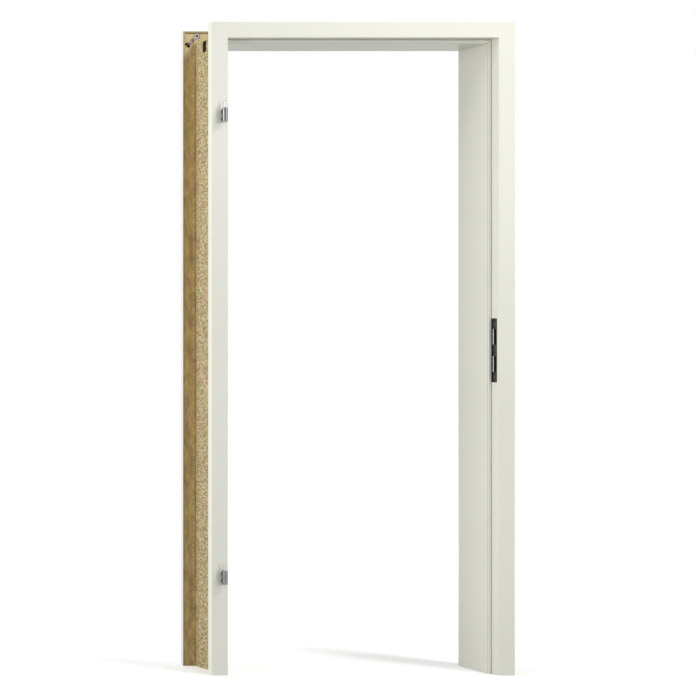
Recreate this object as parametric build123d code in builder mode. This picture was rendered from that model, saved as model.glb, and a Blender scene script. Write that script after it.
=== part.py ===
from build123d import *
import os

# A wrap-round wooden door frame for one rebated leaf, in millimetres, +Z up and +Y into the wall.
# A lining stands in the wall opening. The front architraves are glued to its front edge and carry the
# hinges and the strike plate. The rear architraves push into its rear edge from the other room.

# Opening that the leaf shuts into
rebate_width = 841.0
rebate_height = 1983.0
rebate_step = 13.0
rebate_depth = 28.0

# Wall and lining
wall_thickness = 125.0
lining_thickness = 25.0
lining_setback = 3.0
lining_edge_radius = 2.0

# Front architrave
face_width = 51.5
face_thickness = 16.0
face_edge_radius = 2.0
face_tongue_thickness = 4.0
face_tongue_length = 11.0
glue_room = 1.0

# Rear architrave
rear_thickness = 16.0
rear_edge_radius = 6.0
rear_tongue_thickness = 4.2
rear_tongue_length = 30.0
rear_tongue_inset = 0.5
rear_groove_room = 1.0
slide_clearance = 0.3

# Seal in the rebate corner
seal_inset = 7.0
bead_width = 9.0
bead_height = 3.6
bead_corner_radius = 1.5
bead_wall = 0.9
stem_thickness = 2.6
stem_length = 7.0
stem_root = 1.0
seal_clearance = 0.1

# Hinges, the lower halves that stay on the frame
leaf_lap = 9.0
barrel_radius = 8.0
barrel_height = 43.0
barrel_rim_radius = 1.6
barrel_stand_off = 2.5
upper_hinge_drop = 241.0
lower_hinge_rise = 307.0
pin_radius = 3.0
pin_seat_radius = 3.2
pin_projection = 22.0
pin_seat_depth = 20.0
pin_tip_radius = 1.2
stud_radius = 3.5
stud_spacing = 22.0
stud_depth = 36.0
bush_wall = 1.0
bush_flange_radius = 5.2
bush_flange_thickness = 1.0
receiver_bore_clearance = 0.1
receiver_width = 19.0
receiver_height = 66.0
receiver_depth = 34.0
receiver_chamfer = 1.0
set_screw_radius = 2.5
set_screw_length = 6.0
set_screw_socket_radius = 1.4
set_screw_socket_depth = 2.5
set_screw_depth = 16.0
fixing_screw_radius = 2.0
fixing_screw_head_radius = 4.0
fixing_screw_head_height = 2.2
fixing_screw_length = 31.0
fixing_screw_depth = 29.0
fixing_screw_offset = 25.0

# Strike plate and the box behind it
strike_height = 1011.5
plate_width = 22.0
plate_length = 200.0
plate_thickness = 2.5
plate_corner_radius = 2.0
plate_front_margin = 6.0
slot_front_margin = 4.3
slot_width = 9.2
slot_height = 49.0
slot_offset = 42.6
lip_thickness = 1.8
lip_depth = 3.0
lip_bend_radius = 2.4
screw_inward = 1.55
screw_radius = 1.75
screw_length = 18.0
screw_head_radius = 3.8
screw_head_height = 2.1
screw_recess_width = 0.9
screw_recess_span = 4.0
screw_recess_depth = 1.4
box_wall = 1.6
box_room = 2.2
box_depth = 24.0
box_inset = 6.0
box_floor = 2.0

# Mitre connectors on the wall side of the architraves
connector_inset = 21.6
eye_distance = 21.1
eye_radius = 9.0
eye_height = 9.5
eye_hole_radius = 3.0
eye_rim_chamfer = 1.0
neck_length = 14.0
neck_width = 7.6
bolt_radius = 2.6
bolt_sink = 5.0
bolt_entry = 3.5
bolt_collar_radius = 4.2
bolt_collar_length = 7.0
bolt_collar_distance = 7.5
nut_distance = 18.6
nut_length = 17.0
nut_thickness = 3.2
nut_height = 8.0
pocket_depth = 10.5
pocket_clearance = 0.6
nut_pocket_reach = 8.3

# Corner brackets of the lining
bracket_slot_width = 17.5
bracket_slot_length = 39.0
bracket_slot_depth = 10.0
bracket_slot_depths = (52.0, 96.0)
bracket_clearance = 0.5
bracket_sink = 1.0
bracket_end_gap = 6.5
bracket_screw_radius = 1.9
bracket_screw_head_radius = 3.6
bracket_screw_head_height = 1.6
bracket_screw_length = 15.0
bracket_screw_distance = 14.0

# Worked out from the sizes above. The passage is what the lining leaves clear.
clear_half = rebate_width / 2 - rebate_step
clear_height = rebate_height - rebate_step
outer_reach = rebate_step + face_width
outer_height = clear_height + outer_reach
outer_half = clear_half + outer_reach
lining_half = clear_half + lining_thickness
lining_top = clear_height + lining_thickness
rebate_leg = lining_thickness - rebate_step
wall_rear = face_thickness + wall_thickness
lining_rear = wall_rear - lining_setback
hinge_reach = barrel_stand_off + barrel_radius
hinge_x = -(rebate_width / 2 + leaf_lap + barrel_radius)
overall_front = -(hinge_reach + barrel_radius)
overall_rear = wall_rear + rear_thickness

# The origin is on the floor, in the middle of the whole depth.
face_y = -(overall_front + overall_rear) / 2

# Each hinge is set by its middle, the upper one down from the rebate's head, the lower one up from the floor.
hinge_heights = {"upper": rebate_height - upper_hinge_drop, "lower": lower_hinge_rise}

# The strike plate's slots lie nearer to its front edge, with the box centred behind them. Its screws sit
# between its slots and its ends, a little nearer to the slots.
slot_centre = slot_front_margin + (slot_width - plate_width) / 2
slot_end = slot_offset + slot_height / 2
screw_offset = (slot_end + plate_length / 2) / 2 - screw_inward
box_length = plate_length - 2 * box_inset

# On these planes x runs away from the passage and y runs into the wall.
hinge_side = Plane(origin=(-clear_half, face_y, 0), x_dir=(-1, 0, 0), z_dir=(0, 0, -1))
strike_side = Plane(origin=(clear_half, face_y, 0), x_dir=(1, 0, 0), z_dir=(0, 0, 1))
head_side = Plane(origin=(0, face_y, clear_height), x_dir=(0, 0, 1), z_dir=(-1, 0, 0))
sides = {"hinge_side": hinge_side, "strike_side": strike_side, "head": head_side}

# Mitre planes of the two upper corners, facing the head
left_mitre = Plane(origin=(-clear_half, face_y, clear_height), x_dir=(0, 1, 0), z_dir=(1, 0, 1))
right_mitre = Plane(origin=(clear_half, face_y, clear_height), x_dir=(0, 1, 0), z_dir=(-1, 0, 1))

corner = (Align.MIN, Align.MIN)
os.makedirs("parts", exist_ok=True)


def save(piece, name):
    """Label one finished piece and write it."""
    piece.part.label = name
    export_step(piece.part, "parts/" + name + ".step")


def block(x, y, width, depth, mode=Mode.ADD):
    """A rectangle of a section, from its corner nearest the passage and the front."""
    with Locations((x, y)):
        Rectangle(width, depth, align=corner, mode=mode)


def run_along(side):
    """Extrude the drawn section along one side of the frame, and cut its mitres."""
    if side == head_side:
        extrude(amount=outer_half, both=True)
        split(bisect_by=left_mitre, keep=Keep.TOP)
        split(bisect_by=right_mitre, keep=Keep.TOP)
    elif side == hinge_side:
        extrude(amount=-outer_height)
        split(bisect_by=left_mitre, keep=Keep.BOTTOM)
    else:
        extrude(amount=outer_height)
        split(bisect_by=right_mitre, keep=Keep.BOTTOM)


def countersunk_screw(seat, head_radius, head_height, radius, length, mode=Mode.ADD):
    """One screw with its head flush with the seat and its shank along the seat's z, or its hole."""
    with BuildSketch(Plane(origin=seat.origin, x_dir=seat.x_dir, z_dir=-seat.y_dir)) as profile:
        with BuildLine():
            Polyline((0, 0), (head_radius, 0), (radius, head_height),
                     (radius, length - radius), (0, length), close=True)
        make_face()
    revolve(profile.sketch, axis=Axis(seat.origin, seat.z_dir), mode=mode)


def cut_cross_recess(seat):
    """The driver's cross in a screw's head."""
    with BuildSketch(seat) as cross:
        Rectangle(screw_recess_span, screw_recess_width)
        Rectangle(screw_recess_width, screw_recess_span)
    extrude(cross.sketch, amount=screw_recess_depth, mode=Mode.SUBTRACT)


def connector_plane(sign, wall_side_y, facing):
    """The plane of one mitre connector, its x towards the head and across the mitre."""
    crossing = rebate_step + connector_inset
    origin = (sign * (clear_half + crossing), face_y + wall_side_y, clear_height + crossing)
    return Plane(origin=origin, x_dir=(-sign, 0, 1), z_dir=(0, facing, 0))


front_connectors = {"left": connector_plane(-1, face_thickness, 1),
                    "right": connector_plane(1, face_thickness, 1)}
rear_connectors = {"left": connector_plane(-1, wall_rear, -1),
                   "right": connector_plane(1, wall_rear, -1)}


def draw_casting(growth):
    """The eye of a mitre connector and the neck that narrows towards the bolt."""
    neck_x = eye_distance - neck_length - growth
    neck_half = neck_width / 2 + growth
    eye_half = eye_radius + growth
    with Locations((eye_distance, 0)):
        Circle(eye_half)
    with BuildLine() as neck:
        Polyline((eye_distance, -eye_half), (eye_distance, eye_half), (neck_x, neck_half), (neck_x, -neck_half),
                 close=True)
    make_face(neck.edges())


def cut_connector_pockets(planes):
    """Mill the pockets that the mitre connectors lie in, with room behind the nut to drop it in."""
    channel_width = 2 * (bolt_collar_radius + pocket_clearance)
    nut_pocket_length = nut_pocket_reach + nut_thickness / 2 + pocket_clearance
    for plane in planes.values():
        with BuildSketch(plane) as pocket:
            draw_casting(pocket_clearance)
            with Locations((-nut_distance, 0)):
                Rectangle(eye_distance + nut_distance, channel_width, align=(Align.MIN, Align.CENTER))
            with Locations((-nut_distance - nut_pocket_reach, 0)):
                Rectangle(nut_pocket_length, nut_length + 2 * pocket_clearance, align=(Align.MIN, Align.CENTER))
        extrude(pocket.sketch, amount=-pocket_depth, mode=Mode.SUBTRACT)


# Lining

front_groove_x = rebate_step + (rebate_leg - face_tongue_thickness) / 2
rear_tongue_x = rebate_step + rear_tongue_inset
rear_groove_width = rear_tongue_thickness + 2 * slide_clearance
rear_groove_depth = rear_tongue_length - lining_setback + rear_groove_room


def lining_section(section):
    """A plain board with a groove in each edge, and one for the seal in the rebate's step."""
    block(0, rebate_depth, lining_thickness, lining_rear - rebate_depth)
    passage_edges = section.vertices().group_by(Axis.X)[0]
    fillet(passage_edges, lining_edge_radius)
    block(front_groove_x, rebate_depth, face_tongue_thickness, face_tongue_length + glue_room, Mode.SUBTRACT)
    groove_x = rear_tongue_x - slide_clearance
    block(groove_x, lining_rear - rear_groove_depth, rear_groove_width, rear_groove_depth, Mode.SUBTRACT)
    with Locations((seal_inset, rebate_depth)):
        seal_groove = stem_thickness + 2 * seal_clearance
        Rectangle(seal_groove, stem_length + seal_clearance, align=(Align.CENTER, Align.MIN), mode=Mode.SUBTRACT)


def cut_bracket_slots(side):
    """Mill the slots of the corner brackets in the wall face, open at the mitre."""
    if side == head_side:
        for sign in (-1, 1):
            with BuildSketch(Plane(origin=(sign * lining_half, face_y, lining_top), z_dir=(0, 0, 1))) as slots:
                with Locations(*[(0, depth) for depth in bracket_slot_depths]):
                    SlotOverall(2 * bracket_slot_length, bracket_slot_width)
            extrude(slots.sketch, amount=-bracket_slot_depth, mode=Mode.SUBTRACT)
    else:
        sign = 1 if side == strike_side else -1
        wall_face = Plane(origin=(sign * lining_half, face_y, lining_top), x_dir=(0, 1, 0), z_dir=(sign, 0, 0))
        with BuildSketch(wall_face) as slots:
            with Locations(*[(depth, 0) for depth in bracket_slot_depths]):
                SlotOverall(2 * bracket_slot_length, bracket_slot_width, rotation=90)
        extrude(slots.sketch, amount=-bracket_slot_depth, mode=Mode.SUBTRACT)


bracket_floor = lining_thickness - bracket_slot_depth
bracket_leg = bracket_slot_length - bracket_slot_depth - bracket_end_gap
bracket_width = bracket_slot_width - 2 * bracket_clearance
bracket_thickness = bracket_slot_depth - bracket_sink
bracket_x = clear_half + bracket_floor
bracket_z = clear_height + bracket_floor


def bracket_screw_seats(sign):
    """Where the screws of one corner's brackets sit, in the jamb's legs and in the head's."""
    seats = []
    for depth in bracket_slot_depths:
        y = face_y + depth
        jamb_origin = (sign * (bracket_x + bracket_thickness), y, bracket_z - bracket_screw_distance)
        head_origin = (sign * (bracket_x - bracket_screw_distance), y, bracket_z + bracket_thickness)
        seats.append(Plane(origin=jamb_origin, x_dir=(0, 1, 0), z_dir=(-sign, 0, 0)))
        seats.append(Plane(origin=head_origin, x_dir=(0, 1, 0), z_dir=(0, 0, -1)))
    return seats


def add_bracket_screws(sign, mode=Mode.ADD):
    """The screws of one corner's brackets, or their holes."""
    for seat in bracket_screw_seats(sign):
        countersunk_screw(seat, bracket_screw_head_radius, bracket_screw_head_height,
                          bracket_screw_radius, bracket_screw_length, mode)


def fixing_screw_seats(height):
    """Where the two wood screws of one hinge receiver sit, on its side away from the lining."""
    x = -lining_half - receiver_width
    y = face_y + face_thickness + fixing_screw_depth
    heights = (height - fixing_screw_offset, height + fixing_screw_offset)
    return [Plane(origin=(x, y, z), x_dir=(0, 1, 0), z_dir=(1, 0, 0)) for z in heights]


def add_fixing_screws(height, mode=Mode.ADD):
    """The wood screws of one hinge receiver, or their holes."""
    for seat in fixing_screw_seats(height):
        countersunk_screw(seat, fixing_screw_head_radius, fixing_screw_head_height,
                          fixing_screw_radius, fixing_screw_length, mode)


for name, side in sides.items():
    with BuildPart() as lining:
        with BuildSketch(side) as section:
            lining_section(section)
        run_along(side)
        cut_bracket_slots(side)
        if side != strike_side:
            add_bracket_screws(-1, Mode.SUBTRACT)
        if side != hinge_side:
            add_bracket_screws(1, Mode.SUBTRACT)
        if side == hinge_side:
            for height in hinge_heights.values():
                add_fixing_screws(height, Mode.SUBTRACT)
    save(lining, name + "_lining")


# Corner brackets of the lining, one moulded angle in each pair of slots, and their screws

for name, sign in (("left", -1), ("right", 1)):
    with BuildPart() as brackets:
        for depth in bracket_slot_depths:
            fold = Plane(origin=(sign * bracket_x, face_y + depth, bracket_z),
                         x_dir=(-sign, 0, 0), z_dir=(0, sign, 0))
            with BuildSketch(fold):
                with BuildLine():
                    Polyline((0, 0), (bracket_leg, 0), (bracket_leg, bracket_thickness),
                             (-bracket_thickness, bracket_thickness), (-bracket_thickness, -bracket_leg),
                             (0, -bracket_leg), close=True)
                make_face()
            extrude(amount=bracket_width / 2, both=True)
        add_bracket_screws(sign, Mode.SUBTRACT)
    save(brackets, name + "_lining_brackets")

    with BuildPart() as bracket_screws:
        add_bracket_screws(sign)
        for seat in bracket_screw_seats(sign):
            cut_cross_recess(seat)
    save(bracket_screws, name + "_bracket_screws")


# Front architraves: the board, the rebate's leg and a tongue glued into the lining


def front_section(section):
    """The face board with its rounded room edges, the leg beside the leaf, and the tongue."""
    block(rebate_step, 0, face_width, face_thickness)
    room_edges = section.vertices().group_by(Axis.Y)[0]
    fillet(room_edges, face_edge_radius)
    block(rebate_step, face_thickness, rebate_leg, rebate_depth - face_thickness)
    block(front_groove_x, rebate_depth, face_tongue_thickness, face_tongue_length)


def strike_plane(inset):
    """A plane parallel to the rebate's side, its x into the wall and its y up."""
    origin = (rebate_width / 2 + inset, face_y + plate_front_margin + plate_width / 2, strike_height)
    return Plane(origin=origin, x_dir=(0, 1, 0), z_dir=(1, 0, 0))


box_outer_width = slot_width + 2 * box_room + 2 * box_wall

for name, side in sides.items():
    with BuildPart() as architrave:
        with BuildSketch(side) as section:
            front_section(section)
        run_along(side)
        cut_connector_pockets(front_connectors)
        if side == hinge_side:
            with BuildSketch(Plane(origin=(hinge_x, face_y, 0), x_dir=(1, 0, 0), z_dir=(0, -1, 0))):
                for height in hinge_heights.values():
                    with Locations((0, height - stud_spacing / 2), (0, height + stud_spacing / 2)):
                        Circle(stud_radius + bush_wall)
            extrude(amount=-face_thickness, mode=Mode.SUBTRACT)
        if side == strike_side:
            with BuildSketch(strike_plane(0)):
                RectangleRounded(plate_width, plate_length, plate_corner_radius)
            extrude(amount=plate_thickness, mode=Mode.SUBTRACT)
            with BuildSketch(strike_plane(plate_thickness)):
                with Locations((slot_centre, 0)):
                    Rectangle(box_outer_width, box_length)
            extrude(amount=box_depth, mode=Mode.SUBTRACT)
    save(architrave, name + "_front_architrave")


# Rear architraves: the board and the long tongue that slides in the lining's groove


def rear_section(section):
    """The rear board with its rounder room edges, and its sliding tongue."""
    block(rebate_step, wall_rear, face_width, rear_thickness)
    room_edges = section.vertices().group_by(Axis.Y)[-1]
    fillet(room_edges, rear_edge_radius)
    block(rear_tongue_x, wall_rear - rear_tongue_length, rear_tongue_thickness, rear_tongue_length)


for name, side in sides.items():
    with BuildPart() as architrave:
        with BuildSketch(side) as section:
            rear_section(section)
        run_along(side)
        cut_connector_pockets(rear_connectors)
    save(architrave, name + "_rear_architrave")


# Seal: a flat hollow bead on a stem, pressed into the groove of the rebate's step

for name, side in sides.items():
    with BuildPart() as seal:
        with BuildSketch(side):
            with Locations((seal_inset, rebate_depth - bead_height / 2)):
                RectangleRounded(bead_width, bead_height, bead_corner_radius)
            with Locations((seal_inset, rebate_depth - stem_root)):
                Rectangle(stem_thickness, stem_root + stem_length, align=(Align.CENTER, Align.MIN))
            with Locations((seal_inset, rebate_depth - bead_height / 2)):
                RectangleRounded(bead_width - 2 * bead_wall, bead_height - 2 * bead_wall,
                                 bead_corner_radius - bead_wall, mode=Mode.SUBTRACT)
        run_along(side)
    save(seal, name + "_seal")


# Hinges: a barrel on two studs, a pin standing in it, bushes in the architrave and the receiver behind it

for name, height in hinge_heights.items():
    axis_y = face_y - hinge_reach
    stud_heights = (height - stud_spacing / 2, height + stud_spacing / 2)
    barrel_top = Plane(origin=(hinge_x, axis_y, height + barrel_height / 2))
    with BuildPart() as barrel:
        with BuildSketch(Plane(origin=(hinge_x, axis_y, height))):
            Circle(barrel_radius)
        extrude(amount=barrel_height / 2, both=True)
        end_rims = barrel.edges().filter_by(GeomType.CIRCLE)
        fillet(end_rims, barrel_rim_radius)
        with BuildSketch(Plane(origin=(hinge_x, axis_y, 0), x_dir=(1, 0, 0), z_dir=(0, -1, 0))):
            with Locations(*[(0, stud_height) for stud_height in stud_heights]):
                Circle(stud_radius)
        extrude(amount=-(hinge_reach + stud_depth))
        with BuildSketch(barrel_top):
            Circle(pin_seat_radius)
        extrude(amount=-pin_seat_depth, mode=Mode.SUBTRACT)
    save(barrel, name + "_hinge_barrel")

    with BuildPart() as pin:
        with BuildSketch(barrel_top):
            Circle(pin_seat_radius)
        extrude(amount=-pin_seat_depth)
        with BuildSketch(barrel_top):
            Circle(pin_radius)
        extrude(amount=pin_projection)
        fillet(pin.edges().group_by(Axis.Z)[-1], pin_tip_radius)
    save(pin, name + "_hinge_pin")

    with BuildPart() as bushes:
        with BuildSketch(Plane(origin=(hinge_x, face_y, 0), x_dir=(1, 0, 0), z_dir=(0, -1, 0))) as flanges:
            with Locations(*[(0, stud_height) for stud_height in stud_heights]):
                Circle(bush_flange_radius)
                Circle(stud_radius, mode=Mode.SUBTRACT)
        extrude(flanges.sketch, amount=bush_flange_thickness)
        with BuildSketch(Plane(origin=(hinge_x, face_y, 0), x_dir=(1, 0, 0), z_dir=(0, -1, 0))) as sleeves:
            with Locations(*[(0, stud_height) for stud_height in stud_heights]):
                Circle(stud_radius + bush_wall)
                Circle(stud_radius, mode=Mode.SUBTRACT)
        extrude(sleeves.sketch, amount=-face_thickness)
    save(bushes, name + "_hinge_bushes")

    outer_side = -lining_half - receiver_width
    set_screw_y = face_y + face_thickness + set_screw_depth
    set_screw_tip = hinge_x - stud_radius
    set_screw_side = Plane(origin=(outer_side, set_screw_y, 0), x_dir=(0, 1, 0), z_dir=(1, 0, 0))
    set_screw_top = Plane(origin=(set_screw_tip - set_screw_length, set_screw_y, 0),
                          x_dir=(0, 1, 0), z_dir=(1, 0, 0))
    with BuildPart() as receiver:
        seat = Plane(origin=(outer_side, face_y + face_thickness, height), x_dir=(0, 0, 1), z_dir=(0, 1, 0))
        with BuildSketch(seat):
            Rectangle(receiver_height, receiver_width, align=(Align.CENTER, Align.MIN))
        extrude(amount=receiver_depth)
        free_edges = receiver.edges().filter_by(Axis.Y).group_by(Axis.X)[0]
        chamfer(free_edges, receiver_chamfer)
        with BuildSketch(Plane(origin=(hinge_x, face_y + face_thickness, 0), x_dir=(0, 0, 1), z_dir=(0, 1, 0))):
            with Locations(*[(stud_height, 0) for stud_height in stud_heights]):
                Circle(stud_radius + receiver_bore_clearance)
        extrude(amount=receiver_depth, mode=Mode.SUBTRACT)
        with BuildSketch(set_screw_side):
            with Locations(*[(0, stud_height) for stud_height in stud_heights]):
                Circle(set_screw_radius)
        extrude(amount=set_screw_tip - outer_side, mode=Mode.SUBTRACT)
        add_fixing_screws(height, Mode.SUBTRACT)
    save(receiver, name + "_hinge_receiver")

    with BuildPart() as set_screws:
        with BuildSketch(set_screw_top):
            with Locations(*[(0, stud_height) for stud_height in stud_heights]):
                Circle(set_screw_radius)
        extrude(amount=set_screw_length)
        with BuildSketch(set_screw_top):
            with Locations(*[(0, stud_height) for stud_height in stud_heights]):
                RegularPolygon(set_screw_socket_radius, 6)
        extrude(amount=set_screw_socket_depth, mode=Mode.SUBTRACT)
    save(set_screws, name + "_hinge_set_screws")

    with BuildPart() as fixing_screws:
        add_fixing_screws(height)
        for seat in fixing_screw_seats(height):
            cut_cross_recess(seat)
    save(fixing_screws, name + "_hinge_fixing_screws")


# Strike plate, its screws and the box behind it

slot_places = ((slot_centre, -slot_offset), (slot_centre, slot_offset))
strike_screw_seats = []
for offset in (-screw_offset, screw_offset):
    seat_origin = strike_plane(0).from_local_coords((0, offset, 0))
    strike_screw_seats.append(Plane(origin=seat_origin, x_dir=(0, 1, 0), z_dir=(1, 0, 0)))


def add_strike_screws(mode=Mode.ADD):
    """The strike plate's two screws, or their holes."""
    for seat in strike_screw_seats:
        countersunk_screw(seat, screw_head_radius, screw_head_height, screw_radius, screw_length, mode)


with BuildPart() as strike_plate:
    with BuildSketch(strike_plane(0)):
        RectangleRounded(plate_width, plate_length, plate_corner_radius)
    extrude(amount=plate_thickness)
    with BuildSketch(strike_plane(plate_thickness)):
        with Locations(*slot_places):
            with Locations((slot_width / 2, 0)):
                Rectangle(lip_thickness, slot_height, align=(Align.MIN, Align.CENTER))
    extrude(amount=lip_depth)
    with BuildSketch(strike_plane(0)):
        with Locations(*slot_places):
            Rectangle(slot_width, slot_height)
    extrude(amount=plate_thickness + lip_depth, mode=Mode.SUBTRACT)
    lip_edge_y = face_y + plate_front_margin + slot_front_margin + slot_width
    outer_edges = strike_plate.edges().filter_by(Axis.Z).group_by(Axis.X)[0]
    bent_edges = outer_edges.filter_by_position(Axis.Y, lip_edge_y - lip_bend_radius, lip_edge_y + lip_bend_radius)
    fillet(bent_edges, lip_bend_radius)
    add_strike_screws(Mode.SUBTRACT)
save(strike_plate, "strike_plate")

with BuildPart() as strike_screws:
    add_strike_screws()
    for seat in strike_screw_seats:
        cut_cross_recess(seat)
save(strike_screws, "strike_screws")

with BuildPart() as strike_box:
    with BuildSketch(strike_plane(plate_thickness)):
        with Locations((slot_centre, 0)):
            Rectangle(box_outer_width, box_length)
    extrude(amount=box_depth)
    with BuildSketch(strike_plane(plate_thickness)):
        with Locations(*slot_places):
            Rectangle(slot_width + 2 * box_room, slot_height + 2 * box_room)
    extrude(amount=box_depth - box_floor, mode=Mode.SUBTRACT)
    add_strike_screws(Mode.SUBTRACT)
save(strike_box, "strike_box")


# Mitre connectors: a cast eye in the head, a bolt with a collar, and a flat nut across it in the jamb

for row, planes in (("front", front_connectors), ("rear", rear_connectors)):
    for name, plane in planes.items():
        floor = plane.offset(-pocket_depth)
        eye = plane.from_local_coords((eye_distance, 0, -bolt_sink))
        nut_place = plane.from_local_coords((-nut_distance, 0, -bolt_sink))
        bolt_end = plane.from_local_coords((-nut_distance - nut_thickness, 0, -bolt_sink))
        collar_end = plane.from_local_coords((-nut_distance + bolt_collar_distance, 0, -bolt_sink))
        with BuildPart() as cam:
            with BuildSketch(floor):
                draw_casting(0)
            extrude(amount=eye_height)
            open_face = cam.faces().sort_by(Axis(plane.origin, plane.z_dir))[-1]
            chamfer(open_face.outer_wire().edges(), eye_rim_chamfer)
            with BuildSketch(floor):
                with Locations((eye_distance, 0)):
                    RegularPolygon(eye_hole_radius, 6)
            extrude(amount=eye_height, mode=Mode.SUBTRACT)
            with BuildSketch(Plane(origin=eye, x_dir=plane.y_dir, z_dir=-plane.x_dir)):
                Circle(bolt_radius)
            extrude(amount=neck_length, mode=Mode.SUBTRACT)
        save(cam, row + "_" + name + "_mitre_cam")

        with BuildPart() as bolt:
            with BuildSketch(Plane(origin=bolt_end, x_dir=plane.y_dir, z_dir=plane.x_dir)):
                Circle(bolt_radius)
            extrude(amount=nut_thickness + nut_distance + eye_distance - bolt_entry)
            with BuildSketch(Plane(origin=collar_end, x_dir=plane.y_dir, z_dir=plane.x_dir)):
                Circle(bolt_collar_radius)
            extrude(amount=bolt_collar_length)
        save(bolt, row + "_" + name + "_mitre_bolt")

        with BuildPart() as nut:
            with BuildSketch(Plane(origin=nut_place, x_dir=plane.y_dir, z_dir=plane.x_dir)):
                Rectangle(nut_length, nut_height)
                Circle(bolt_radius, mode=Mode.SUBTRACT)
            extrude(amount=nut_thickness / 2, both=True)
        save(nut, row + "_" + name + "_mitre_nut")
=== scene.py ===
import bpy
from mathutils import Matrix, Vector


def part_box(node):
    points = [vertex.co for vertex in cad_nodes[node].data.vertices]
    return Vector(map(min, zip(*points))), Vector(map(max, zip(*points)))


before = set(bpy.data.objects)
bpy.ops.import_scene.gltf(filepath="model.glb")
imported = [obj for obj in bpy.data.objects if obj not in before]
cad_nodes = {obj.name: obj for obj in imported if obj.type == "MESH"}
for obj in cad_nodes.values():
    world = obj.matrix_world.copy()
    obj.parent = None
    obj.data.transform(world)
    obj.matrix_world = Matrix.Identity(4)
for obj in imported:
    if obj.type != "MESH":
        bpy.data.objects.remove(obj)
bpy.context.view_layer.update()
collection = bpy.context.scene.collection
bpy.context.scene.view_settings.view_transform = "Standard"


# Where the frame is seen from. The picture plane is parallel to the front of the architraves, and the eye
# stands far to the left of it, so the camera's depth axis is sheared and its other two are square.
face_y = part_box("strike_side_front_architrave")[0].y
picture_side = 696
pixels_per_metre = 321.73
middle_pixel = 363.4
floor_pixel = 675.8
eye_pixel = Vector((-718.0, 349.5))
eye_distance = 4.472


def place_in_front_plane(pixel_x, pixel_y):
    """The point of the architraves' front plane that a pixel shows."""
    across = (pixel_x - middle_pixel) / pixels_per_metre
    up = (floor_pixel - pixel_y) / pixels_per_metre
    return Vector((across, face_y, up))


eye = place_in_front_plane(*eye_pixel) - Vector((0, eye_distance, 0))
sight = (place_in_front_plane(picture_side / 2, picture_side / 2) - eye) / eye_distance
sheared = Matrix.Identity(4)
sheared.col[1] = (0, 0, 1, 0)
sheared.col[2] = (*(-sight.normalized()), 0)
sheared.col[3] = (*eye, 1)
camera_data = bpy.data.cameras.new("picture_camera")
camera_data.sensor_width = 36.0
camera_data.lens = pixels_per_metre * eye_distance * sight.length / picture_side * camera_data.sensor_width
camera_data.clip_end = 60.0
camera = bpy.data.objects.new("picture_camera", camera_data)
camera_stand = bpy.data.objects.new("camera_stand", None)
collection.objects.link(camera)
collection.objects.link(camera_stand)
camera.parent = camera_stand
camera.matrix_parent_inverse = sheared
bpy.context.scene.camera = camera


# Linings. Each is a particle board, wrapped on the passage side in a satin white film that turns over both
# long edges. The wall side is left raw, and so are the grooves and the slots milled for the corner angles.
class Value:
    """A socket's value in a material, for sums written as Python."""

    def __init__(self, nodes, socket):
        self.nodes = nodes
        self.socket = socket

    def math(self, operation, *others):
        """The outcome of one operation on this value and others."""
        inputs = dict(enumerate((self, *others)))
        return self.nodes.node("Math", {"operation": operation}, inputs)

    def __add__(self, other):
        return self.math("ADD", other)

    def __sub__(self, other):
        return self.math("SUBTRACT", other)

    def __mul__(self, other):
        return self.math("MULTIPLY", other)

    def __rsub__(self, other):
        return self.nodes.node("Math", {"operation": "SUBTRACT"}, {0: other, 1: self})

    __radd__ = __add__
    __rmul__ = __mul__


class Nodes:
    """The shader nodes of a material or of the surround, which end in one surface."""

    def __init__(self, owner, surface):
        owner.use_nodes = True
        self.owner = owner
        self.tree = owner.node_tree
        self.surface = self.tree.nodes[surface]

    def node(self, kind, settings=None, inputs=None, output=0):
        """One node of a kind, with its settings, its inputs and the output that is used."""
        made = self.tree.nodes.new("ShaderNode" + kind)
        for name, value in (settings or {}).items():
            if name == "stops":
                self.set_stops(made.color_ramp, value)
            else:
                setattr(made, name, value)
        for name, value in (inputs or {}).items():
            self.feed(made.inputs[name], value)
        return Value(self, made.outputs[output])

    def feed(self, socket, value):
        """Give a socket a number or colour, or link it to a value."""
        if isinstance(value, Value):
            self.tree.links.new(value.socket, socket)
        else:
            socket.default_value = value

    def set_stops(self, ramp, stops):
        """A ramp's stops, as pairs of a position and a colour."""
        while len(ramp.elements) < len(stops):
            ramp.elements.new(1.0)
        for element, (position, colour) in zip(ramp.elements, stops):
            element.position = position
            element.color = (*colour, 1.0)

    def mix(self, factor, first, second):
        """A colour between two, by a factor."""
        first = (*first, 1.0) if isinstance(first, tuple) else first
        second = (*second, 1.0) if isinstance(second, tuple) else second
        return self.node("Mix", {"data_type": "RGBA"}, {0: factor, 6: first, 7: second}, 2)

    def set(self, **inputs):
        """The surface's own inputs, by name, with spaces written as underscores."""
        for name, value in inputs.items():
            self.feed(self.surface.inputs[name.replace("_", " ")], value)


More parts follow.
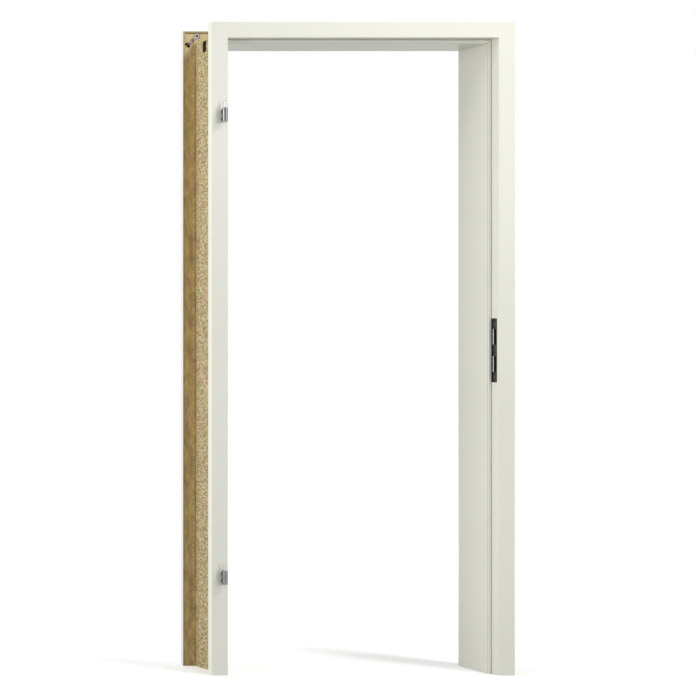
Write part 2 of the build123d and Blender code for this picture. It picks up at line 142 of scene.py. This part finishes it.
class Finish(Nodes):
    """One material, whose patterns lie on the piece's own coordinates."""

    def __init__(self, name):
        super().__init__(bpy.data.materials.new(name), "Principled BSDF")
        self.place = self.node("TexCoord", output="Object")
        self.x, self.y, self.z = [self.part(self.place, axis) for axis in "XYZ"]

    def part(self, vector, axis):
        """One of the three numbers of a vector."""
        return self.node("SeparateXYZ", None, {0: vector}, axis)

    def stretched(self, stretch):
        """The place on the piece, stretched along its axes."""
        return self.node("Mapping", None, {"Vector": self.place, "Scale": stretch})

    def noise(self, per_metre, detail=2.0, roughness=0.5, stretch=None):
        """Soft noise from 0 to 1, with so many waves to a metre."""
        place = self.place if stretch is None else self.stretched(stretch)
        inputs = {"Vector": place, "Scale": per_metre, "Detail": detail, "Roughness": roughness}
        return self.node("TexNoise", None, inputs)

    def cells(self, place, per_metre):
        """A random number for each cell of a pattern, with so many cells to a metre."""
        cell = self.node("TexVoronoi", None, {"Vector": place, "Scale": per_metre}, "Color")
        return self.part(cell, "X")

    def ramp(self, value, stops):
        """A colour for each value, by stops."""
        return self.node("ValToRGB", {"stops": stops}, {0: value})

    def between(self, value, low, high):
        """0 below low and 1 above high, smooth in between."""
        settings = {"interpolation_type": "SMOOTHSTEP"}
        return self.node("MapRange", settings, {"Value": value, "From Min": low, "From Max": high})

    def band(self, value, middle, half, soft):
        """1 where a value is within half of a middle, and 0 once it is past the soft edge."""
        return 1.0 - self.between((value - middle).math("ABSOLUTE"), half, half + soft)

    def bump(self, height):
        """A surface normal that follows a height in metres."""
        return self.node("Bump", None, {"Height": height, "Distance": 1.0, "Strength": 1.0})


def dress(finish, *names):
    """Give CAD nodes their material."""
    for name in names:
        materials = cad_nodes[name].data.materials
        materials.clear()
        materials.append(finish.owner)


sides = ("hinge_side", "strike_side", "head")
lining_front, lining_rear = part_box("strike_side_lining")
clear_half = lining_front.x
lining_thickness = lining_rear.x - clear_half
clear_height = lining_rear.z - lining_thickness
lining_edge_radius = 0.002
hair = 0.0002

film_white = (0.865, 0.868, 0.775)
film_shade = (0.838, 0.841, 0.745)
film_roughness = 0.36
film_roughness_change = 0.08
film_peel_height = 0.00001
noise_middle = 0.5
cloud_edges = (0.3, 0.7)


def outside_passage(finish):
    """How far a point of the frame lies beside the clear passage, and how far above it."""
    return finish.x.math("ABSOLUTE") - clear_half, finish.z - clear_height


def away_from_passage(finish):
    """How far a point of the frame lies outside the clear passage, on a jamb or on the head."""
    beside, above = outside_passage(finish)
    return beside.math("MAXIMUM", above)


def wrap(finish, raw, board):
    """White film with a faint lacquer texture where raw is 0, and the raw board where it is 1."""
    board_colour, board_roughness, board_height = board(finish)
    cloud = finish.noise(per_metre=3.0, detail=3.0)
    peel = finish.noise(per_metre=420.0, roughness=0.6)
    film_colour = finish.mix(finish.between(cloud, *cloud_edges), film_white, film_shade)
    roughness = film_roughness + (peel - noise_middle) * film_roughness_change
    height = peel * film_peel_height
    finish.set(Base_Color=finish.mix(raw, film_colour, board_colour),
               Roughness=roughness + raw * (board_roughness - roughness),
               Normal=finish.bump(height + raw * (board_height - height)))


chip_stretch = (1.0, 0.8, 0.9)
chip_share, crumb_share, dust_share = 0.52, 0.28, 0.2
bark_to_sliver = ((0.12, (0.08, 0.05, 0.018)), (0.3, (0.265, 0.19, 0.085)), (0.5, (0.475, 0.382, 0.205)),
                  (0.7, (0.655, 0.562, 0.338)), (0.88, (0.83, 0.745, 0.50)))
patch_edges = (0.35, 0.65)
red_chips = (0.52, 0.37, 0.235)
green_chips = (0.42, 0.405, 0.185)
patch_share = 0.22
# The board is drawn darker toward the lining's rear edge, where it meets the rear architrave.
rear_edge_darkening = (0.12, 0.09, 0.04)
rear_darkening_width = 0.02
rear_darkening_share = 0.27
chip_roughness = 0.82
chip_roughness_change = 0.1
chip_height = 0.0002
dust_height = 0.0001


def particle_board(finish):
    """Raw particle board: tan chips of many sizes, bark specks and pale slivers, darker toward its rear
    edge.
    """
    place = finish.stretched(chip_stretch)
    chips = finish.cells(place, per_metre=255.0)
    crumbs = finish.cells(place, per_metre=490.0)
    dust = finish.noise(per_metre=1200.0, detail=3.0, roughness=0.7)
    colour = finish.ramp(chips * chip_share + crumbs * crumb_share + dust * dust_share, bark_to_sliver)
    patches = finish.between(finish.noise(per_metre=24.0, detail=3.0), *patch_edges)
    colour = finish.mix(patch_share, colour, finish.mix(patches, red_chips, green_chips))
    # Darker toward the rear edge.
    rear_darkening = finish.between(finish.y, lining_rear.y - rear_darkening_width, lining_rear.y)
    colour = finish.mix(rear_darkening * rear_darkening_share, colour, rear_edge_darkening)
    roughness = chip_roughness + chips * chip_roughness_change
    return colour, roughness, chips * chip_height + dust * dust_height


lining = Finish("lining_board")
film_end = lining_edge_radius + hair
under_film = lining.between(away_from_passage(lining), film_end, film_end + hair)
off_front = lining.between(lining.y, lining_front.y + hair, lining_front.y + 2 * hair)
off_rear = 1.0 - lining.between(lining.y, lining_rear.y - 2 * hair, lining_rear.y - hair)
wrap(lining, under_film * off_front * off_rear, particle_board)
dress(lining, *[side + "_lining" for side in sides])


# Front architraves. Each is a moulding of fibreboard wrapped in the same white film on its face and edges.
# Its leg makes the rebate, its tongue is glued into the lining, and its wall side is left raw: darker toward
# its outer edges, with chatter marks beside the lining, painted light on the head and at the top of the
# jambs, a dark line near the head's top edge, and painted shade in the connectors' key sockets.
architrave_thickness = 0.016
pocket_depth = 0.0108
tongue_inset = 0.0005
front_face, front_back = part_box("strike_side_front_architrave")
rebate_step = front_face.x - clear_half
outer_reach = front_back.x - clear_half

connector_eye_radius = 0.009
connector_front, connector_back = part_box("rear_right_mitre_cam")
key_x = connector_front.x + connector_eye_radius
key_z = connector_back.z - connector_eye_radius
key_radius = 0.0035
# Painted shade: the key socket in each connector's eye, and the pocket floor seen through it, are drawn near
# black.
key_socket_shade = (0.01, 0.01, 0.01)

red_brown = (0.435, 0.265, 0.12)
green_brown = (0.37, 0.285, 0.092)
pale_smear = (0.74, 0.565, 0.25)
smear_stretch = (1.0, 1.0, 0.35)
dark_fibre = (0.29, 0.20, 0.08)
fibre_edges = (0.35, 0.7)
fibre_share = 0.5
# Painted light: the raw wall side is drawn paler on the head and at the top of the jambs' outer part, where
# more light falls from above.
painted_top_light = (0.88, 0.76, 0.45)
top_light_share = 0.42
lit_corner_height = 0.035
lit_corner_edges = (0.035, 0.05)
chatter_mark = (0.86, 0.74, 0.45)
chatter_share = 0.35
chatter_stretch = (0.1, 0.1, 1.0)
chatter_edges = (0.42, 0.6)
chatter_middle = lining_thickness + 0.006
chatter_half, chatter_soft = 0.0025, 0.001
# The board is drawn darker toward its outer edge.
outer_edge_dark = (0.10, 0.10, 0.04)
outer_dark_share = 0.33
outer_dark_width = 0.01
# A dark line on the head's wall side, a little inside its top edge.
head_line_dark = (0.07, 0.055, 0.012)
head_line_share = 0.75
head_line_middle = outer_reach - 0.0065
head_line_half, head_line_soft = 0.002, 0.0015
fibre_roughness = 0.78
fibre_roughness_change = 0.1
fibre_height = 0.00006


def on_key_line(finish):
    """1 where the key of a mitre connector goes in, through its eye and down to the pocket's floor, where
    shade is painted.
    """
    beside = finish.x.math("ABSOLUTE") - key_x
    above = finish.z - key_z
    from_line = (beside * beside + above * above).math("SQRT")
    return 1.0 - finish.between(from_line, key_radius, key_radius + hair)


def fibre_board(finish):
    """Raw fibreboard: brown with fine fibres, cloudy smears and chatter marks, darker at its outer edge,
    with a dark line and painted light on the head, and painted shade in the key sockets.
    """
    fibres = finish.noise(per_metre=800.0, detail=4.0, roughness=0.7)
    smears = finish.noise(per_metre=55.0, detail=4.0, roughness=0.65, stretch=smear_stretch)
    patches = finish.between(finish.noise(per_metre=18.0, detail=3.0), *patch_edges)
    brown = finish.mix(patches, red_brown, green_brown)
    colour = finish.mix(finish.between(smears, *cloud_edges), brown, pale_smear)
    colour = finish.mix(finish.between(fibres, *fibre_edges) * fibre_share, colour, dark_fibre)

    beside, above = outside_passage(finish)
    outward = beside.math("MAXIMUM", above)
    # Painted light, paler on the head and at the top of the jambs.
    on_head = finish.between(above - beside, 0.0, hair)
    corner = finish.between(above, -lit_corner_height, 0.0) * finish.between(beside, *lit_corner_edges)
    colour = finish.mix(on_head.math("MAXIMUM", corner) * top_light_share, colour, painted_top_light)

    ripple = finish.noise(per_metre=150.0, detail=1.0, stretch=chatter_stretch)
    chatter = finish.between(ripple, *chatter_edges)
    beside_lining = finish.band(outward, chatter_middle, chatter_half, chatter_soft)
    colour = finish.mix(beside_lining * chatter * chatter_share, colour, chatter_mark)
    # Darker toward the outer edge.
    outer_dark = finish.between(outward, outer_reach - outer_dark_width, outer_reach)
    colour = finish.mix(outer_dark * outer_dark_share, colour, outer_edge_dark)
    # The dark line near the head's top edge.
    head_line = finish.band(above, head_line_middle, head_line_half, head_line_soft) * on_head
    colour = finish.mix(head_line * head_line_share, colour, head_line_dark)
    # Painted shade in the connectors' key sockets.
    colour = finish.mix(on_key_line(finish), colour, key_socket_shade)
    return colour, fibre_roughness + fibres * fibre_roughness_change, fibres * fibre_height


def wrap_architrave(name, wall_plane, into_board):
    """White film on the face, the edges and the tongue's near side, and raw board on the wall side."""
    finish = Finish(name)
    outward = away_from_passage(finish)
    shallow = 1.0 - finish.between((finish.y - wall_plane) * into_board, pocket_depth, pocket_depth + hair)
    inner_film = rebate_step + tongue_inset + hair
    off_inner_edge = finish.between(outward, inner_film, inner_film + hair)
    off_outer_edge = 1.0 - finish.between(outward, outer_reach - 2 * hair, outer_reach - hair)
    wrap(finish, shallow * off_inner_edge * off_outer_edge, fibre_board)
    return finish


front_film = wrap_architrave("front_architrave_film", front_face.y + architrave_thickness, into_board=-1.0)
dress(front_film, *[side + "_front_architrave" for side in sides])


# Rear architraves. The same wrapped moulding with rounder room edges. Its long tongue slides in the
# lining's groove, so that the frame takes up walls of different thickness.
rear_face_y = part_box("strike_side_rear_architrave")[1].y
rear_film = wrap_architrave("rear_architrave_film", rear_face_y - architrave_thickness, into_board=1.0)
dress(rear_film, *[side + "_rear_architrave" for side in sides])


# Seal. A flat hollow bead of soft white rubber, extruded in one length with its stem. The stem is pressed
# into the groove in the rebate's step, and the leaf shuts against the bead.
seal = Finish("white_seal")
seal_clean = (0.92, 0.93, 0.85)
seal_dusty = (0.88, 0.89, 0.81)
seal_roughness = 0.55
seal_roughness_change = 0.1
seal_grain_height = 0.00001
dust_film = seal.noise(per_metre=60.0, detail=3.0)
seal.set(Base_Color=seal.mix(dust_film, seal_clean, seal_dusty),
         Roughness=seal_roughness + dust_film * seal_roughness_change,
         Normal=seal.bump(seal.noise(per_metre=500.0) * seal_grain_height))
dress(seal, *[side + "_seal" for side in sides])


# Hinges. A nickel-plated barrel with a bright pin standing in it, on two studs that pass through black
# bushes in the architrave into a zinc receiver. Grub screws in the receiver clamp the studs, and wood
# screws hold it to the lining.
turned = (0.06, 0.06, 1.0)
even = (1.0, 1.0, 1.0)
scratch_height = 0.000004
plastic_grain_height = 0.00001


def metal(name, colour, shade, roughness, scratch, way, metallic=1.0, mark=None, mark_colour=None):
    """Clouded metal, scratched along the way it was worked, in another colour where it is marked, such as a
    polished lip and painted shade in a key socket.
    """
    finish = Finish(name)
    cloud = finish.noise(per_metre=45.0, detail=4.0, roughness=0.6)
    lines = finish.noise(per_metre=900.0, detail=3.0, roughness=0.6, stretch=way)
    tone = finish.mix(finish.between(cloud, *cloud_edges), colour, shade)
    if mark:
        tone = finish.mix(mark(finish), tone, mark_colour)
    finish.set(Base_Color=tone,
               Metallic=metallic,
               Roughness=roughness + (lines - noise_middle) * scratch,
               Normal=finish.bump(lines * scratch_height))
    return finish


def plastic(name, colour, shade, roughness):
    """Moulded plastic with a fine grain."""
    finish = Finish(name)
    grain = finish.noise(per_metre=700.0)
    finish.set(Base_Color=finish.mix(grain, colour, shade),
               Roughness=roughness,
               Specular_IOR_Level=0.1,
               Normal=finish.bump(grain * plastic_grain_height))
    return finish


nickel = metal("hinge_nickel", (0.20, 0.20, 0.195), (0.17, 0.17, 0.165),
               roughness=0.27, scratch=0.1, way=turned)
pin_steel = metal("pin_steel", (0.43, 0.44, 0.41), (0.38, 0.39, 0.36),
                  roughness=0.24, scratch=0.08, way=turned)
# The cast zinc gets painted shade in the connectors' key sockets.
cast_zinc = metal("cast_zinc", (0.37, 0.34, 0.355), (0.31, 0.285, 0.30),
                  roughness=0.42, scratch=0.2, way=even, mark=on_key_line, mark_colour=key_socket_shade)
screw_zinc = metal("zinc_screw", (0.62, 0.60, 0.58), (0.54, 0.52, 0.50),
                   roughness=0.32, scratch=0.15, way=even)
screw_black = metal("black_screw", (0.10, 0.10, 0.10), (0.07, 0.07, 0.07),
                    roughness=0.4, scratch=0.15, way=even)
black_plastic = plastic("black_plastic", (0.008, 0.008, 0.008), (0.016, 0.016, 0.016), roughness=0.5)
for hinge in ("upper_hinge_", "lower_hinge_"):
    dress(nickel, hinge + "barrel")
    dress(pin_steel, hinge + "pin")
    dress(black_plastic, hinge + "bushes")
    dress(cast_zinc, hinge + "receiver")
    dress(screw_black, hinge + "set_screws")
    dress(screw_zinc, hinge + "fixing_screws")


# Strike plate. Dark-finished steel let in flush, with its lips bent in beside the latch and the bolt and
# polished there, two countersunk screws, and behind it a black plastic box that the screws bite into.
plate_front, plate_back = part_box("strike_plate")
plate_middle_z = (plate_front.z + plate_back.z) / 2
slot_offset = 0.0426
slot_half = 0.0245
lip_start = plate_front.y + 0.0135
lip_width = 0.0022
lip_soft = 0.0008
drawn = (1.0, 1.0, 0.08)


def on_bent_lip(finish):
    """1 on the lips beside the latch slot and the bolt slot, which are bent in from the front edge."""
    off_plate_middle = (finish.z - plate_middle_z).math("ABSOLUTE")
    beside_slot = finish.band(off_plate_middle, slot_offset, slot_half - hair, 2 * hair)
    behind_front = finish.between(finish.y, lip_start - hair, lip_start)
    lip_end = lip_start + lip_width
    before_land = 1.0 - finish.between(finish.y, lip_end, lip_end + lip_soft)
    return beside_slot * behind_front * before_land


polished_lip = (0.33, 0.33, 0.31)
strike_steel = metal("dark_strike_steel", (0.085, 0.085, 0.078), (0.065, 0.065, 0.059),
                     roughness=0.38, scratch=0.15, way=drawn, mark=on_bent_lip, mark_colour=polished_lip)
dress(strike_steel, "strike_plate")
dress(nickel, "strike_screws")
dress(black_plastic, "strike_box")


# Mitre connectors. A cast zinc eye turns a plated bolt that pulls on a flat black nut, all in pockets milled
# from the wall side. The lining's corners are held by black moulded angles, screwed down in their slots.
black_steel = metal("black_steel", (0.04, 0.03, 0.02), (0.024, 0.018, 0.012),
                    roughness=0.5, scratch=0.15, way=even)
dull_zinc = metal("dull_zinc", (0.56, 0.51, 0.54), (0.46, 0.41, 0.44),
                  roughness=0.45, scratch=0.2, way=even, metallic=0.35)
for corner in ("left", "right"):
    for row in ("front_", "rear_"):
        dress(cast_zinc, row + corner + "_mitre_cam")
        dress(dull_zinc, row + corner + "_mitre_bolt")
        dress(black_steel, row + corner + "_mitre_nut")
    dress(black_plastic, corner + "_lining_brackets")
    dress(black_steel, corner + "_bracket_screws")


# Floor and light. A pale floor that looks white to the eye and keeps the frame's shadow, a plain even
# surround, two soft lamps in front on the right, and two on the left, almost in the frame's plane.
floor_size = 40.0
floor_seen = (0.97, 0.97, 0.97)
floor_for_light = (0.27, 0.27, 0.26)
near_glow = (0.16, 0.16, 0.16)
far_glow = (0.52, 0.52, 0.52)
glow_edges = (0.8, 3.5)
surround_seen = (1.0, 1.0, 1.0)
surround_for_light = (0.57, 0.57, 0.57)
no_glow = (0.0, 0.0, 0.0)


def looked_at(nodes):
    """1 where the eye looks, straight or by a mirror, and 0 where light is gathered."""
    seen, mirrored, passed = [nodes.node("LightPath", output=way) for way in
                              ("Is Camera Ray", "Is Glossy Ray", "Is Transmission Ray")]
    return seen.math("MAXIMUM", mirrored).math("MAXIMUM", passed)


bpy.ops.object.select_all(action="DESELECT")
bpy.ops.mesh.primitive_plane_add(size=floor_size, location=(0, 0, 0))
floor = bpy.context.object
floor.name = "floor"
pale_floor = Finish("pale_floor")
floor_looked_at = looked_at(pale_floor)
from_frame = (pale_floor.x * pale_floor.x + pale_floor.y * pale_floor.y).math("SQRT")
floor_glow = pale_floor.mix(pale_floor.between(from_frame, *glow_edges), near_glow, far_glow)
pale_floor.set(Base_Color=pale_floor.mix(floor_looked_at, floor_for_light, floor_seen),
               Roughness=1.0,
               Specular_IOR_Level=0.0,
               Emission_Color=pale_floor.mix(floor_looked_at, no_glow, floor_glow),
               Emission_Strength=1.0)
floor.data.materials.append(pale_floor.owner)

world = bpy.data.worlds.new("plain_surround")
bpy.context.scene.world = world
surround = Nodes(world, "Background")
surround.set(Color=surround.mix(looked_at(surround), surround_for_light, surround_seen), Strength=1.0)


def soft_lamp(name, place, aim, size, power):
    """A square soft lamp that looks at a point."""
    data = bpy.data.lights.new(name, "AREA")
    data.shape = "SQUARE"
    data.size = size
    data.energy = power
    lamp = bpy.data.objects.new(name, data)
    collection.objects.link(lamp)
    lamp.location = place
    lamp.rotation_euler = (Vector(aim) - Vector(place)).to_track_quat("-Z", "Y").to_euler()


soft_lamp("key_lamp", place=(2.3, -1.7, 4.6), aim=(0.0, 0.0, 1.3), size=1.2, power=88.0)
soft_lamp("front_lamp", place=(4.0, -5.0, 2.5), aim=(0.0, 0.0, 1.0), size=2.0, power=78.0)
soft_lamp("side_lamp", place=(-4.5, -0.9, 1.6), aim=(0.2, 0.0, 1.0), size=1.8, power=82.0)
soft_lamp("high_side_lamp", place=(-4.5, -0.9, 4.8), aim=(0.2, 0.0, 1.0), size=1.8, power=64.0)
